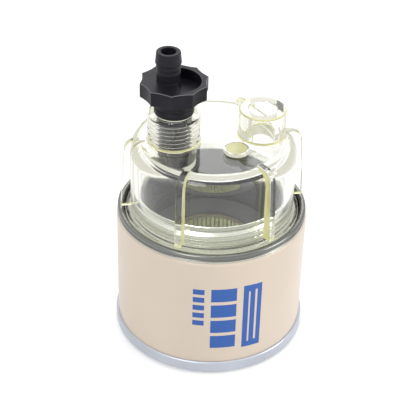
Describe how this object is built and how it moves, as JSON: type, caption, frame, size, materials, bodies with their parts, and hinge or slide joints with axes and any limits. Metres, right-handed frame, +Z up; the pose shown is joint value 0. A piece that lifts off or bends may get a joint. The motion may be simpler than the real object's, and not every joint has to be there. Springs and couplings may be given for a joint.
{
  "type": "fuel water separator",
  "caption": "Spin-on fuel filter can with a clear ribbed water bowl, an open sensor port and a black self-venting drain valve with a hose barb.",
  "frame": {"origin": "centre of the mounting gasket's sealing face", "axes": "+Z up the can's axis from the mounting end to the bowl; +X towards the sensor port"},
  "size_m": [0.082, 0.082, 0.1322],
  "materials": {
    "beige_paint": "satin",
    "zinc": "satin",
    "steel": "satin",
    "rubber_black": "matte",
    "clear_plastic": "gloss",
    "black_plastic": "satin",
    "dark_plastic": "matte",
    "resin": "gloss",
    "filter_paper": "matte"
  },
  "bodies": {
    "can": {"mounting_gasket": "rubber_black", "seam_lid": "zinc", "base_plate": "steel", "can_shell": "beige_paint", "bowl_collar": "zinc", "mount_end_cap": "dark_plastic", "bowl_end_cap": "dark_plastic", "mount_potting": "resin", "bowl_potting": "resin", "pleated_media": "filter_paper", "outer_sleeve": "steel", "element_grommet": "rubber_black", "cap_seal": "rubber_black"},
    "bowl_seal": {"bowl_gasket": "rubber_black"},
    "water_bowl": {"bowl": "clear_plastic"},
    "valve_seals": {"drain_face_seal": "rubber_black", "drain_side_seal": "rubber_black"},
    "valve": {"drain_valve": "black_plastic"}
  },
  "joints": [
    {"name": "bowl_rise", "type": "slide", "parent": "can", "child": "bowl_seal", "axis": [0, 0, 1], "range_m": [0, 0.0075]},
    {"name": "bowl_turn", "type": "hinge", "parent": "bowl_seal", "child": "water_bowl", "pos_m": [0, 0, 0.06], "axis": [0, 0, 1], "range_deg": [0, 1080]},
    {"name": "valve_rise", "type": "slide", "parent": "water_bowl", "child": "valve_seals", "axis": [0, 0, 1], "range_m": [0, 0.0054]},
    {"name": "valve_turn", "type": "hinge", "parent": "valve_seals", "child": "valve", "pos_m": [-0.0164, 0, 0.1], "axis": [0, 0, 1], "range_deg": [0, 1080]}
  ],
  "couplings": [
    {"joint": "bowl_rise", "follows": "bowl_turn", "m_per_rad": 0.00039789},
    {"joint": "valve_rise", "follows": "valve_turn", "m_per_rad": 0.00028648}
  ]
}
